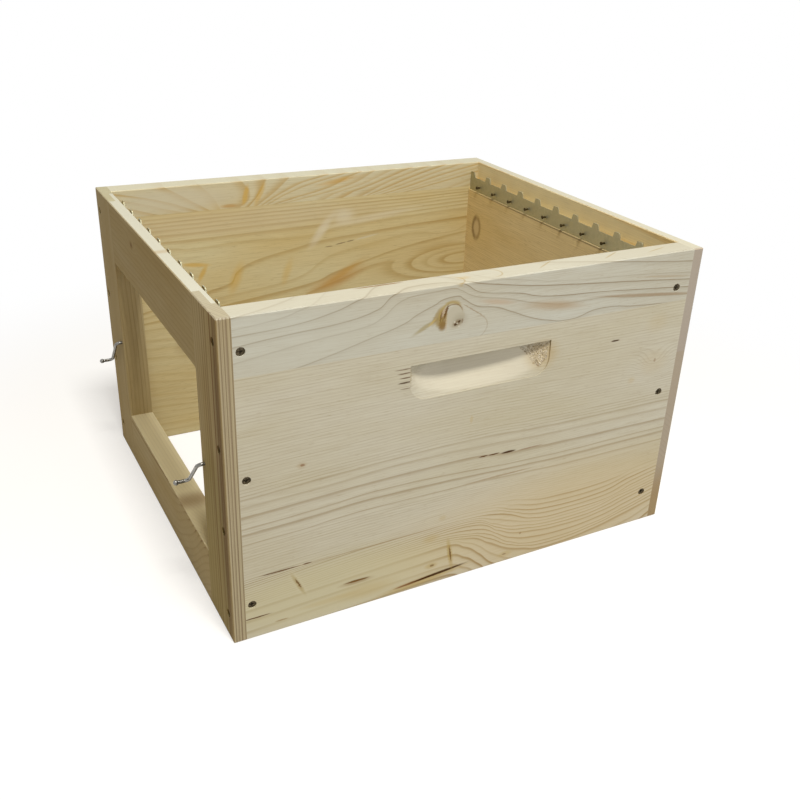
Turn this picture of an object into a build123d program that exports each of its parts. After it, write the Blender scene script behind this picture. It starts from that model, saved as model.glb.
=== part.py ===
"""Hive body for ten frames: a pine box, open at the top and bottom, with a window in its left wall.

The frame has its origin at the centre of the bottom rim. +X runs right along the front wall, +Y runs to the
back and +Z is up. The window and its two turn hooks are in the wall at -X. All sizes are in millimetres.
"""

import os
from math import atan2, cos, degrees, radians, sin

from build123d import *

os.makedirs("parts", exist_ok=True)

# The box and its boards
box_width = 500.0
box_depth = 430.0
box_height = 316.0
wall = 25.0
edge_ease = 0.8
front_upper_height = 52.5
back_upper_height = 31.0
right_upper_height = 111.0

# The side walls' outer skin, which covers the ends of the front and back walls at each corner
corner_cheek = 12.0

# The rebate along the top of each side wall, and the shallow recess under it where the frame rack lies
lug_rebate_height = 22.5
lug_rebate_depth = 13.0
rack_recess_height = 12.5
rack_recess_depth = 3.0

# The window frame in the left wall, with lapped corners
stile_width = 66.0
top_rail_height = 68.0
bottom_rail_height = 60.0
lap_cheek = 7.5
lap_length = 32.0

# The scooped hand hold, a little left of the wall's middle. It is deepest under its straight upper lip, where the
# cutter went in left of the hold's middle
hold_width = 151.0
hold_height = 35.0
hold_depth = 15.0
hold_end_depth = 2.0
hold_foot = 0.5
hold_foot_end = 0.3
hold_drop = 70.0
hold_shift = 3.0
hold_deepest_shift = 30.0
hold_corner_radius = 17.0

# The toothed rack that spaces the frames
frame_pitch = 37.0
rack_thickness = 1.2
rack_rise = 5.0
rack_end_gap = 0.5
tooth_height = 6.5
tooth_base = 12.5
tooth_tip = 8.0
tooth_radius = 1.2

# Rack nails, which stand out of the rack a little
nail_head_diameter = 4.2
nail_head_thickness = 0.9
nail_stand = 4.0
nail_diameter = 2.4
nail_length = 14.0
nail_point = 2.5
nail_rise = 7.0

# Countersunk wood screws with a cross recess
screw_length = 45.0
screw_diameter = 4.0
screw_head_diameter = 8.0
screw_point = 6.0
screw_sink = 1.5
recess_span = 4.6
recess_slot = 1.1
recess_depth = 1.5

# Screw heights: in the front and back faces, then in the side faces
front_left_screw_from_top = 30.0
front_left_middle_screw_from_top = 148.0
front_right_screw_from_top = 38.0
front_right_middle_screw_from_top = 154.0
back_screw_from_top = 46.0
back_middle_screw_from_top = 153.0
end_screw_bottom = 38.0
side_screw_from_top = 23.0
side_screw_upper_from_top = 120.0
side_screw_lower = 115.0
side_screw_bottom = 26.0

# The screws at the front's right end start further in, and slant out into the side wall
front_right_screw_inset = 28.0
front_right_screw_slant = 15.0

# Turn hooks of bent wire with a ball at the tip
hook_wire = 3.5
hook_edge_distance = 8.0
front_hook_height = 158.5
back_hook_height = 151.0
hook_root = 19.0
hook_stand_off = 6.5
hook_arm = 48.0
hook_arm_angle = -45.0
hook_tip = 12.0
hook_bend_radius = 4.5
hook_ball = 5.2

# Clearances
fastener_clearance = 0.05
hook_clearance = 0.05
hook_end_clearance = 0.5

# Half sizes and places that several pieces share
half_width = box_width / 2
half_depth = box_depth / 2
inner_half_width = half_width - wall
inner_depth = box_depth - 2 * wall
end_wall_length = box_width - 2 * corner_cheek
ledge_height = box_height - lug_rebate_height
lug_face = inner_half_width + lug_rebate_depth
rack_bottom = ledge_height - rack_recess_height
rack_back = inner_half_width + rack_recess_depth
rack_face = rack_back - rack_thickness
slot_floor = ledge_height + rack_rise
slot_count = int(inner_depth // frame_pitch)
window_width = box_depth - 2 * stile_width
window_top = box_height - top_rail_height
corner_screw_inset = (corner_cheek + wall) / 2
FRONT, BACK = -1, 1
LEFT, RIGHT = -1, 1


def save(piece, name):
    """Labels a finished piece and writes its file."""
    piece.part.label = name
    export_step(piece.part, f"parts/{name}.step")


def end_screw_seats(facing, side):
    """Places of the screw heads at one end of the front or back face, each facing out of the wood."""
    inset, slant = corner_screw_inset, 0.0
    drop, middle_drop = back_screw_from_top, back_middle_screw_from_top
    if facing == FRONT and side == LEFT:
        drop, middle_drop = front_left_screw_from_top, front_left_middle_screw_from_top
    if facing == FRONT and side == RIGHT:
        inset, slant = front_right_screw_inset, radians(front_right_screw_slant)
        drop, middle_drop = front_right_screw_from_top, front_right_middle_screw_from_top
    x = side * (half_width - inset)
    outward = (-side * sin(slant), facing * cos(slant), 0)
    across = (cos(slant), side * facing * sin(slant), 0)
    heights = (end_screw_bottom, box_height - middle_drop, box_height - drop)
    return [Plane((x, facing * half_depth, z), x_dir=across, z_dir=outward) for z in heights]


def side_screw_seats(facing, side):
    """Places of the screw heads along one upright edge of a side face, each facing out of the wood."""
    y = facing * (half_depth - wall / 2)
    heights = (
        side_screw_bottom,
        side_screw_lower,
        box_height - side_screw_upper_from_top,
        box_height - side_screw_from_top,
    )
    return [Plane((side * half_width, y, z), x_dir=(0, 1, 0), z_dir=(side, 0, 0)) for z in heights]


def corner_seats(*corners):
    """All the screw places of the given corners, each a (facing, side) pair."""
    return [seat for corner in corners for seat in end_screw_seats(*corner) + side_screw_seats(*corner)]


def nail_seats(side):
    """Places of the nail heads on one rack, one below the middle of each slot, facing into the box."""
    places = [frame_pitch * (slot - (slot_count - 1) / 2) for slot in range(slot_count)]
    height = rack_bottom + nail_rise
    return [Plane((side * rack_face, y, height), x_dir=(0, 1, 0), z_dir=(-side, 0, 0)) for y in places]


def hook_root_place(facing):
    """Where a turn hook leaves the window frame's outer face, beside the window."""
    height = front_hook_height if facing == FRONT else back_hook_height
    return Vector(-half_width, facing * (window_width / 2 + hook_edge_distance), height)


# The whole block, its outer edges and the rims of its openings eased: every board is trimmed to it
with BuildPart() as eased_block:
    with Locations((0, 0, box_height / 2)):
        Box(box_width, box_depth, box_height)
    chamfer(eased_block.edges(), edge_ease)
    with BuildSketch(Plane.XY.offset(box_height - edge_ease)):
        Rectangle(2 * lug_face, inner_depth)
    extrude(amount=edge_ease, taper=-45, mode=Mode.SUBTRACT)
    with BuildSketch(Plane((0, 0, edge_ease), x_dir=(1, 0, 0), z_dir=(0, 0, -1))):
        Rectangle(2 * inner_half_width, inner_depth)
    extrude(amount=edge_ease, taper=-45, mode=Mode.SUBTRACT)
    window_middle = (bottom_rail_height + window_top) / 2
    with BuildSketch(Plane((edge_ease - half_width, 0, window_middle), x_dir=(0, -1, 0), z_dir=(-1, 0, 0))):
        Rectangle(window_width, window_top - bottom_rail_height)
    extrude(amount=edge_ease, taper=-45, mode=Mode.SUBTRACT)

# The space that the front and back walls take out of the side walls
with BuildPart() as end_wall_space:
    with BuildSketch():
        with GridLocations(0, box_depth - wall, 1, 2):
            Rectangle(end_wall_length, wall)
    extrude(amount=box_height)

# The stepped rebate of both side walls: a ledge for the frames' lugs, and the racks' recess below it
with BuildPart() as lug_rebates:
    with BuildSketch(Plane.XY.offset(ledge_height)):
        Rectangle(2 * lug_face, inner_depth)
    extrude(amount=lug_rebate_height)
    with BuildSketch(Plane.XY.offset(rack_bottom)):
        Rectangle(2 * rack_back, inner_depth)
    extrude(amount=rack_recess_height)

# The hand hold's hollow in the front face: two arcs under the lip that meet at the deepest place, from which the
# wood slopes out to the foot, with rounded corners
hold_top = box_height - hold_drop
hold_bottom = hold_top - hold_height
hold_left = -hold_shift - hold_width / 2
hold_right = -hold_shift + hold_width / 2
hold_deepest = -hold_shift - hold_deepest_shift
hold_levels = ((hold_bottom, hold_foot, hold_foot_end), (hold_top, hold_depth, hold_end_depth))
with BuildPart() as hand_hold:
    for height, depth, end_depth in hold_levels:
        with BuildSketch(Plane((0, -half_depth, height))):
            with BuildLine():
                Line((hold_left, 0), (hold_left, end_depth))
                TangentArc((hold_deepest, depth), (hold_left, end_depth), tangent=(-1, 0))
                TangentArc((hold_deepest, depth), (hold_right, end_depth), tangent=(1, 0))
                Line((hold_right, end_depth), (hold_right, 0))
                Line((hold_right, 0), (hold_left, 0))
            make_face()
    loft(ruled=True)
    with BuildSketch(
        Plane((-hold_shift, -half_depth, hold_bottom), x_dir=(-1, 0, 0), z_dir=(0, 1, 0))
    ) as hold_outline:
        Rectangle(hold_width, hold_height, align=(Align.CENTER, Align.MIN))
        fillet(hold_outline.vertices().group_by(Axis.Y)[0], min(hold_corner_radius, hold_height))
    extrude(amount=hold_depth, mode=Mode.INTERSECT)

# One wood screw, head up along +Z with the wood's face at zero, and the hole that it fills
screw_radius = screw_diameter / 2
screw_head_radius = screw_head_diameter / 2
screw_neck = -screw_sink - (screw_head_radius - screw_radius)
with BuildPart() as screw:
    with BuildSketch(Plane.XZ):
        with BuildLine():
            Polyline(
                (0, -screw_sink),
                (screw_head_radius, -screw_sink),
                (screw_radius, screw_neck),
                (screw_radius, screw_point - screw_length),
                (0, -screw_length),
                close=True,
            )
        make_face()
    revolve(axis=Axis.Z)
    with BuildSketch(Plane.XY.offset(-screw_sink)):
        Rectangle(recess_span, recess_slot)
        Rectangle(recess_slot, recess_span)
    extrude(amount=-recess_depth, mode=Mode.SUBTRACT)

with BuildPart() as screw_hole:
    with BuildSketch(Plane.XZ):
        with BuildLine():
            Polyline(
                (0, screw_sink),
                (screw_head_radius + fastener_clearance, screw_sink),
                (screw_head_radius + fastener_clearance, -screw_sink),
                (screw_radius + fastener_clearance, screw_neck),
                (screw_radius + fastener_clearance, screw_point - screw_length),
                (0, -screw_length - fastener_clearance),
                close=True,
            )
        make_face()
    revolve(axis=Axis.Z)

# One rack nail, its head standing off the rack's face at zero, and the hole that it fills
nail_radius = nail_diameter / 2
nail_head_radius = nail_head_diameter / 2
nail_top = nail_stand + nail_head_thickness
with BuildPart() as nail:
    with BuildSketch(Plane.XZ):
        with BuildLine():
            Polyline(
                (0, nail_top),
                (nail_head_radius - nail_head_thickness / 2, nail_top),
                (nail_head_radius, nail_top - nail_head_thickness / 2),
                (nail_head_radius, nail_stand),
                (nail_radius, nail_stand),
                (nail_radius, nail_point - nail_length),
                (0, -nail_length),
                close=True,
            )
        make_face()
    revolve(axis=Axis.Z)

with BuildPart() as nail_hole:
    with Locations((0, 0, fastener_clearance)):
        Cylinder(
            nail_radius + fastener_clearance,
            nail_length + 2 * fastener_clearance,
            align=(Align.CENTER, Align.CENTER, Align.MAX),
        )


def end_wall_board(facing, low, high):
    """One board of the front or back wall, between two heights."""
    with BuildPart() as board:
        with BuildSketch(Plane.XY.offset(low)):
            with Locations((0, facing * (half_depth - wall / 2))):
                Rectangle(end_wall_length, wall)
        extrude(amount=high - low)
        with Locations(Location((0, 0, 0), (0, 0, 0 if facing == FRONT else 180))):
            add(hand_hold.part, mode=Mode.SUBTRACT)
        with Locations(*corner_seats((facing, LEFT), (facing, RIGHT))):
            add(screw_hole.part, mode=Mode.SUBTRACT)
        add(eased_block.part, mode=Mode.INTERSECT)
    return board


def right_wall_board(low, high):
    """One board of the right wall, between two heights, rebated at its ends for the front and back walls."""
    with BuildPart() as board:
        with BuildSketch(Plane.XY.offset(low)):
            with Locations((half_width - wall / 2, 0)):
                Rectangle(wall, box_depth)
        extrude(amount=high - low)
        add(end_wall_space.part, mode=Mode.SUBTRACT)
        add(lug_rebates.part, mode=Mode.SUBTRACT)
        with Locations(*corner_seats((FRONT, RIGHT), (BACK, RIGHT))):
            add(screw_hole.part, mode=Mode.SUBTRACT)
        with Locations(*nail_seats(RIGHT)):
            add(nail_hole.part, mode=Mode.SUBTRACT)
        add(eased_block.part, mode=Mode.INTERSECT)
    return board


def window_rail(low, high):
    """One rail of the window frame, between two heights, with a tongue at each end that laps behind a stile."""
    with BuildPart() as rail:
        with BuildSketch(Plane.XY.offset(low)):
            with Locations((wall / 2 - half_width, 0)):
                Rectangle(wall, window_width)
            with Locations((-inner_half_width, 0)):
                Rectangle(wall - lap_cheek, window_width + 2 * lap_length, align=(Align.MAX, Align.CENTER))
        extrude(amount=high - low)
        add(lug_rebates.part, mode=Mode.SUBTRACT)
        with Locations(*corner_seats((FRONT, LEFT), (BACK, LEFT))):
            add(screw_hole.part, mode=Mode.SUBTRACT)
        with Locations(*nail_seats(LEFT)):
            add(nail_hole.part, mode=Mode.SUBTRACT)
        add(eased_block.part, mode=Mode.INTERSECT)
    return rail


def window_stile(facing):
    """One upright of the window frame, full height, with pockets for the rails' tongues and the hook's hole."""
    with BuildPart() as stile:
        with BuildSketch():
            with Locations((wall / 2 - half_width, facing * (half_depth - stile_width / 2))):
                Rectangle(wall, stile_width)
        extrude(amount=box_height)
        add(end_wall_space.part, mode=Mode.SUBTRACT)
        add(lug_rebates.part, mode=Mode.SUBTRACT)
        for low, height in ((0, bottom_rail_height), (window_top, top_rail_height)):
            with BuildSketch(Plane.XY.offset(low)):
                with Locations((-inner_half_width, 0)):
                    Rectangle(wall - lap_cheek, window_width + 2 * lap_length, align=(Align.MAX, Align.CENTER))
            extrude(amount=height, mode=Mode.SUBTRACT)
        with Locations(*corner_seats((facing, LEFT))):
            add(screw_hole.part, mode=Mode.SUBTRACT)
        with Locations(*nail_seats(LEFT)):
            add(nail_hole.part, mode=Mode.SUBTRACT)
        with Locations(Plane(hook_root_place(facing), x_dir=(0, 1, 0), z_dir=(-1, 0, 0))):
            Hole(hook_wire / 2 + hook_clearance, depth=hook_root + hook_end_clearance)
        add(eased_block.part, mode=Mode.INTERSECT)
    return stile


def frame_rack(side):
    """One toothed strip of sheet metal: frame lugs stand on its slot floors, between its teeth."""
    length = inner_depth - 2 * rack_end_gap
    tooth_angle = degrees(atan2(tooth_height, (tooth_base - tooth_tip) / 2))
    tooth_places = [(frame_pitch * (tooth - slot_count / 2), slot_floor) for tooth in range(slot_count + 1)]
    nail_places = [(seat.origin.Y, seat.origin.Z) for seat in nail_seats(side)]
    near_face = rack_face if side == RIGHT else -rack_back
    with BuildPart() as rack:
        with BuildSketch(Plane.YZ.offset(near_face)) as profile:
            with Locations(*tooth_places):
                Trapezoid(tooth_base, tooth_height, tooth_angle, align=(Align.CENTER, Align.MIN))
            fillet(profile.vertices().group_by(Axis.Y)[-1], tooth_radius)
            with Locations((0, slot_floor)):
                Rectangle(length, slot_floor - rack_bottom, align=(Align.CENTER, Align.MAX))
            with Locations((0, rack_bottom)):
                Rectangle(
                    length,
                    slot_floor + tooth_height - rack_bottom,
                    align=(Align.CENTER, Align.MIN),
                    mode=Mode.INTERSECT,
                )
            with Locations(*nail_places):
                Circle(nail_radius + fastener_clearance, mode=Mode.SUBTRACT)
        extrude(amount=rack_thickness)
    return rack


def turn_hook(facing):
    """One bent-wire hook: a root in the stile, an arm along the wall and a tip that stands out to the ball."""
    face = hook_root_place(facing)
    arm = Vector(0, cos(radians(hook_arm_angle)), sin(radians(hook_arm_angle))) * hook_arm
    out = Vector(-1, 0, 0)
    root_end = face - out * hook_root
    first_bend = face + out * hook_stand_off
    second_bend = first_bend + arm
    ball_centre = second_bend + out * hook_tip
    with BuildPart() as hook:
        with BuildLine() as wire:
            FilletPolyline(root_end, first_bend, second_bend, ball_centre, radius=hook_bend_radius)
        with BuildSketch(Plane(root_end, x_dir=(0, 1, 0), z_dir=out)):
            Circle(hook_wire / 2)
        sweep(path=wire.wires()[0])
        with Locations(ball_centre):
            Sphere(hook_ball / 2, rotation=(0, 90, 0))
    return hook


front_joint = box_height - front_upper_height
back_joint = box_height - back_upper_height
right_joint = box_height - right_upper_height

save(end_wall_board(FRONT, 0, front_joint), "front_lower_board")
save(end_wall_board(FRONT, front_joint, box_height), "front_upper_board")
save(end_wall_board(BACK, 0, back_joint), "back_lower_board")
save(end_wall_board(BACK, back_joint, box_height), "back_upper_board")
save(right_wall_board(0, right_joint), "right_lower_board")
save(right_wall_board(right_joint, box_height), "right_upper_board")
save(window_rail(0, bottom_rail_height), "window_bottom_rail")
save(window_rail(window_top, box_height), "window_top_rail")

for end_name, facing in (("front", FRONT), ("back", BACK)):
    save(window_stile(facing), f"window_{end_name}_stile")
    save(turn_hook(facing), f"{end_name}_turn_hook")

for side_name, side in (("left", LEFT), ("right", RIGHT)):
    save(frame_rack(side), f"{side_name}_frame_rack")
    with BuildPart() as rack_nails:
        with Locations(*nail_seats(side)):
            add(nail.part)
    save(rack_nails, f"{side_name}_rack_nails")

for end_name, facing in (("front", FRONT), ("back", BACK)):
    for side_name, side in (("left", LEFT), ("right", RIGHT)):
        with BuildPart() as end_screws:
            with Locations(*end_screw_seats(facing, side)):
                add(screw.part)
        save(end_screws, f"{end_name}_face_{side_name}_screws")
        with BuildPart() as side_screws:
            with Locations(*side_screw_seats(facing, side)):
                add(screw.part)
        save(side_screws, f"{side_name}_face_{end_name}_screws")
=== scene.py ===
"""Dresses the hive body: planed pine boards, galvanised racks, nails, screws and bent-wire turn hooks."""

import logging
import math
from collections.abc import Callable, Iterable
from dataclasses import dataclass, field, replace
from enum import Enum
from functools import cache, partial
from typing import Any

import bpy
from mathutils import Matrix, Vector


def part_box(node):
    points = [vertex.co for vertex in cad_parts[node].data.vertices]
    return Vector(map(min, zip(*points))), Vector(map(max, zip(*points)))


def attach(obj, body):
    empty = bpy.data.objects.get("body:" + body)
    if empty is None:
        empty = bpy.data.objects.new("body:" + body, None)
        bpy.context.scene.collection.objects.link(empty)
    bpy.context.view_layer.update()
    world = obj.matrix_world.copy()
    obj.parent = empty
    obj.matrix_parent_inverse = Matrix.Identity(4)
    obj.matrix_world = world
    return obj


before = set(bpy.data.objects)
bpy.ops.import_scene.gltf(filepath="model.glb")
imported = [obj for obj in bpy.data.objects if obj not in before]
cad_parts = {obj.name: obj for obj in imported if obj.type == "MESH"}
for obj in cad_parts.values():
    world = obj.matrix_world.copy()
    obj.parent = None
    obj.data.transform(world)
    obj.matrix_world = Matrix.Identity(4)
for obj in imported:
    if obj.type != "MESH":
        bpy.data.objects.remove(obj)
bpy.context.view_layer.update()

LOG = logging.getLogger("hive_body")
MM_PER_M = 1000.0
MM = 0.001

Tree, Node, Socket, Material = bpy.types.NodeTree, bpy.types.Node, bpy.types.NodeSocket, bpy.types.Material
Pair = tuple[float, float]
Triple = tuple[float, float, float]
Colour = tuple[float, float, float, float]

WHITE: Colour = (1.0, 1.0, 1.0, 1.0)
# Inputs of the Mix node when it mixes colours
MIX_FACTOR, MIX_A, MIX_B = 0, 6, 7
SMOOTH = {"interpolation_type": "SMOOTHSTEP"}

# Shares of a growth ring: where it hazes over, and how dark that gets; where its late wood is darkest, and the
# place that the late wood begins its own width before
HAZE_START, HAZE_COVER, LATE_PEAK, LATE_BASE = 0.2, 0.3, 0.88, 0.92
# The faintest ring's share of the darkest one
FAINTEST_RING = 0.4
# An arc fades in between these shares of its reach, from its open side
ARC_FADE = (-0.35, 0.45)
# Noise keeps to the middle half of its range, so a shift that it gives is doubled
NOISE_GAIN = 2.0
# Far enough, in mm, to go through any board
ALL_THROUGH = 1e4

# The box's left, front, bottom corner, from which every place on a board is measured
BOX_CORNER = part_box("window_front_stile")[0]
# Above this height, in metres, a face that looks up is the box's rim, which gets a painted highlight
RIM_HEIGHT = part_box("window_front_stile")[1][2] - 2 * MM


def linear(hex_colour: str) -> Colour:
    """Turns an sRGB colour into the linear values that shaders take.

    Args:
        hex_colour: The colour as six hex digits after a hash mark.

    Returns:
        Red, green and blue in linear light, and an alpha of one.
    """
    channels = [int(hex_colour[place:place + 2], 16) / 255 for place in (1, 3, 5)]
    # The sRGB curve: a straight foot, and a power above it
    values = [c / 12.92 if c <= 0.04045 else ((c + 0.055) / 1.055) ** 2.4 for c in channels]
    return values[0], values[1], values[2], 1.0


def add_node(tree: Tree, kind: str, inputs: dict[int | str, Any] | None = None, **settings: Any) -> Node:
    """Adds one node to a tree, with its settings, values and links.

    Args:
        tree: The tree that gets the node.
        kind: The node's type name.
        inputs: What goes into its sockets, by name or number. A node stands for its first output in use.
        settings: Values of the node's own properties.

    Returns:
        The new node.
    """
    node = tree.nodes.new(kind)
    for setting, value in settings.items():
        setattr(node, setting, value)
    for socket, value in (inputs or {}).items():
        if isinstance(value, Node):
            value = next(output for output in value.outputs if output.enabled)
        if isinstance(value, Socket):
            tree.links.new(value, node.inputs[socket])
        else:
            node.inputs[socket].default_value = value
    return node


def new_material(name: str) -> tuple[Material, Tree]:
    """Makes an empty node material.

    Args:
        name: What the real material is.

    Returns:
        The material and its node tree.
    """
    material = bpy.data.materials.new(name)
    material.use_nodes = True
    material.node_tree.nodes.clear()
    return material, material.node_tree


def new_group(name: str, inputs: dict[str, str], output: str) -> tuple[Tree, bpy.types.NodeOutputs]:
    """Makes a shader node group with one output value.

    Args:
        name: The group's name.
        inputs: Its input names and their socket kinds, Float or Vector.
        output: The name of its output value.

    Returns:
        The group's tree and the values that it is given, by name.
    """
    tree = bpy.data.node_groups.new(name, "ShaderNodeTree")
    for socket, kind in inputs.items():
        tree.interface.new_socket(name=socket, in_out="INPUT", socket_type=f"NodeSocket{kind}")
    tree.interface.new_socket(name=output, in_out="OUTPUT", socket_type="NodeSocketFloat")
    return tree, add_node(tree, "NodeGroupInput").outputs


def dress(node: str, material: Material) -> None:
    """Gives a part of the fixed frame its finish.

    Args:
        node: The part's name.
        material: Its finish.
    """
    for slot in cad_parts[node].material_slots:
        slot.material = material
    LOG.info("%s: %s", node, material.name)


class Lie(Enum):
    """How a board lies in the box: the box's axes along its fibres, across its face and through it."""

    ACROSS_THE_FRONT = ("X", "Z", "Y")
    ALONG_THE_SIDE = ("Y", "Z", "X")
    UPRIGHT = ("Z", "Y", "X")


class Run(Enum):
    """Which way the growth rings run over a board's face: from end to end of it, or from edge to edge."""

    END_TO_END = "end to end"
    EDGE_TO_EDGE = "edge to edge"


class MarkForm(Enum):
    """The outline of a mark in the wood, with the name of the node group that draws it."""

    SPOT = "wood_spot"
    ARC = "wood_arc"


class Plane(Enum):
    """The plane that a mark lies in: the board's axes along the mark, across it and behind it."""

    FACE = ("X", "Y", "Z")
    RIM = ("X", "Z", "Y")


@dataclass(frozen=True)
class Guide:
    """One growth ring as it runs over a board: its number, and points on it in mm.

    A point is the place along the ring's run and the place across it. Rings between two guides follow both.
    """

    ring: float
    points: tuple[Pair, ...]


@dataclass(frozen=True)
class Swell:
    """A place where the growth rings bulge, as round a knot. Sizes are in mm, along and across the fibres."""

    at: Pair
    reach: Pair
    rings: float


@dataclass(frozen=True)
class Mark:
    """A knot, stain, crack, resin streak or patch of painted light or shade. Sizes are in mm along and across the
    fibres, the turn in degrees.

    The depth is for a mark that shows on one face alone: the place behind the mark's plane, and the reach each
    way.
    """

    at: Pair
    reach: Pair
    colour: str
    cover: float = 0.85
    turn: float = 0.0
    edge: float = 0.35
    form: MarkForm = MarkForm.SPOT
    depth: Pair | None = None
    plane: Plane = Plane.FACE


Guides = tuple[Guide, ...]
Marks = tuple[Mark, ...]


@dataclass(frozen=True)
class Figure:
    """How the growth rings lie in one board, and the marks on it.

    Boldness says how dark the late wood is at a height across the board, in mm. The guides lie on the board's
    seen face, whose depth in the box is given, and the slant shifts the rings with the depth behind it. The
    ripple is how far rings waver, the broadest is the most that one measures, and the late width is its dark
    share.
    """

    guides: Guides
    boldness: tuple[Pair, ...]
    face: float = 0.0
    slant: float = 0.6
    broadest: float = 12.0
    ripple: float = 2.0
    late_width: float = 0.25
    run: Run = Run.END_TO_END
    swells: tuple[Swell, ...] = ()
    marks: Marks = ()


@dataclass(frozen=True)
class Grain:
    """A pattern of noise in the wood: its grains' size in mm, along and across the fibres, and its detail.

    A pattern that colours the wood comes in between two values of the noise, up to its cover.
    """

    size: Pair
    detail: float = 1.0
    between: Pair = (0.0, 1.0)
    cover: float = 1.0


@dataclass(frozen=True)
class PlanedPine:
    """Raw planed pine: pale early wood, orange-brown late wood and a warmer stain between, all without gloss.

    The rim highlight is painted light that pales the upward top edges; the end is what end grain is darkened by.
    """

    early: str
    warm: str
    late: str
    # Painted highlight: the colour that the upward top edges are paled to, as if lit from above, and how much
    rim_highlight: str
    rim_highlight_cover: float = 0.75
    end: str = "#C4BEB4"
    fibre: str = "#8C7448"
    roughness: float = 0.68
    specular: float = 0.05


def straight(*rings: Pair) -> Guides:
    """Makes guides that run straight.

    Args:
        rings: The place of each across its run, in mm, and its number.

    Returns:
        The guides, in the same order.
    """
    return tuple(Guide(ring, ((0.0, place),)) for place, ring in rings)


def on_face(depth: Pair, marks: Iterable[Mark], plane: Plane = Plane.FACE) -> Marks:
    """Keeps marks to one face of their board.

    Args:
        depth: The face's place behind the plane, and the reach each way, in mm.
        marks: The marks.
        plane: The plane that they lie in.

    Returns:
        The same marks, which show on that face alone.
    """
    return tuple(replace(mark, depth=depth, plane=plane) for mark in marks)


@cache
def spot_group(form: MarkForm) -> Tree:
    """Gives the node group that draws one mark: how much of it covers a point.

    Args:
        form: A full spot, or an arc that is open on one side.

    Returns:
        The group, which is built once.
    """
    sockets = {"Point": "Vector", "Centre": "Vector", "Reach": "Vector", "Turn": "Float", "Edge": "Float",
               "Cover": "Float"}
    tree, given = new_group(form.value, sockets, "Mask")
    add = partial(add_node, tree)
    offset = add("ShaderNodeVectorMath", {0: given["Point"], 1: given["Centre"]}, operation="SUBTRACT")
    turned = add("ShaderNodeVectorRotate", {"Vector": offset, "Angle": given["Turn"]}, rotation_type="Z_AXIS",
                 invert=True)
    scaled = add("ShaderNodeVectorMath", {0: turned, 1: given["Reach"]}, operation="DIVIDE")
    distance = add("ShaderNodeVectorMath", {0: scaled}, operation="LENGTH")
    if form is MarkForm.ARC:
        off_ring = add("ShaderNodeMath", {0: distance, 1: 1.0}, operation="SUBTRACT")
        off_ring = add("ShaderNodeMath", {0: off_ring}, operation="ABSOLUTE")
        body = add("ShaderNodeMapRange", {"Value": off_ring, "From Min": given["Edge"], "From Max": 0.0}, **SMOOTH)
        ahead = add("ShaderNodeSeparateXYZ", {0: scaled})
        low, high = ARC_FADE
        closed = add("ShaderNodeMapRange", {"Value": ahead, "From Min": low, "From Max": high}, **SMOOTH)
        mask = add("ShaderNodeMath", {0: body, 1: closed}, operation="MULTIPLY")
    else:
        inner = add("ShaderNodeMath", {0: 1.0, 1: given["Edge"]}, operation="SUBTRACT")
        outer = add("ShaderNodeMath", {0: 1.0, 1: given["Edge"]}, operation="ADD")
        mask = add("ShaderNodeMapRange", {"Value": distance, "From Min": outer, "From Max": inner}, **SMOOTH)
    covered = add("ShaderNodeMath", {0: mask, 1: given["Cover"]}, operation="MULTIPLY")
    add("NodeGroupOutput", {"Mask": covered})
    return tree


@cache
def swell_group() -> Tree:
    """Gives the node group that adds growth rings round a bulge.

    Returns:
        The group, which is built once.
    """
    sockets = {"Point": "Vector", "Centre": "Vector", "Reach": "Vector", "Rings": "Float", "Count": "Float"}
    tree, given = new_group("ring_swell", sockets, "Count")
    add = partial(add_node, tree)
    offset = add("ShaderNodeVectorMath", {0: given["Point"], 1: given["Centre"]}, operation="SUBTRACT")
    scaled = add("ShaderNodeVectorMath", {0: offset, 1: given["Reach"]}, operation="DIVIDE")
    square = add("ShaderNodeVectorMath", {0: scaled, 1: scaled}, operation="DOT_PRODUCT")
    fall = add("ShaderNodeMath", {0: square, 1: -1.0}, operation="MULTIPLY")
    hump = add("ShaderNodeMath", {0: fall}, operation="EXPONENT")
    total = add("ShaderNodeMath", {0: hump, 1: given["Rings"], 2: given["Count"]}, operation="MULTIPLY_ADD")
    add("NodeGroupOutput", {"Count": total})
    return tree


@cache
def late_wood_group() -> Tree:
    """Gives the node group that turns a ring count into late wood.

    Each ring is pale, darkens slowly and ends in a sharp dark edge, and some rings are darker than others.

    Returns:
        The group, which is built once.
    """
    tree, given = new_group("late_wood", {"Count": "Float", "Width": "Float"}, "Late wood")
    add = partial(add_node, tree)
    phase = add("ShaderNodeMath", {0: given["Count"]}, operation="FRACT")
    start = add("ShaderNodeMath", {0: LATE_BASE, 1: given["Width"]}, operation="SUBTRACT")
    rise = add("ShaderNodeMapRange", {"Value": phase, "From Min": start, "From Max": LATE_PEAK}, **SMOOTH)
    haze = add("ShaderNodeMapRange", {"Value": phase, "From Min": HAZE_START, "To Max": HAZE_COVER}, **SMOOTH)
    dark = add("ShaderNodeMath", {0: rise, 1: haze}, operation="MAXIMUM")
    fall = add("ShaderNodeMapRange", {"Value": phase, "From Min": 1.0, "From Max": LATE_PEAK}, **SMOOTH)
    line = add("ShaderNodeMath", {0: dark, 1: fall}, operation="MULTIPLY")
    ring = add("ShaderNodeMath", {0: given["Count"]}, operation="FLOOR")
    chance = add("ShaderNodeTexWhiteNoise", {"W": ring}, noise_dimensions="1D")
    weight = add("ShaderNodeMapRange", {"Value": chance, "To Min": FAINTEST_RING, "To Max": 1.0})
    late = add("ShaderNodeMath", {0: line, 1: weight}, operation="MULTIPLY")
    add("NodeGroupOutput", {"Late wood": late})
    return tree


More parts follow.
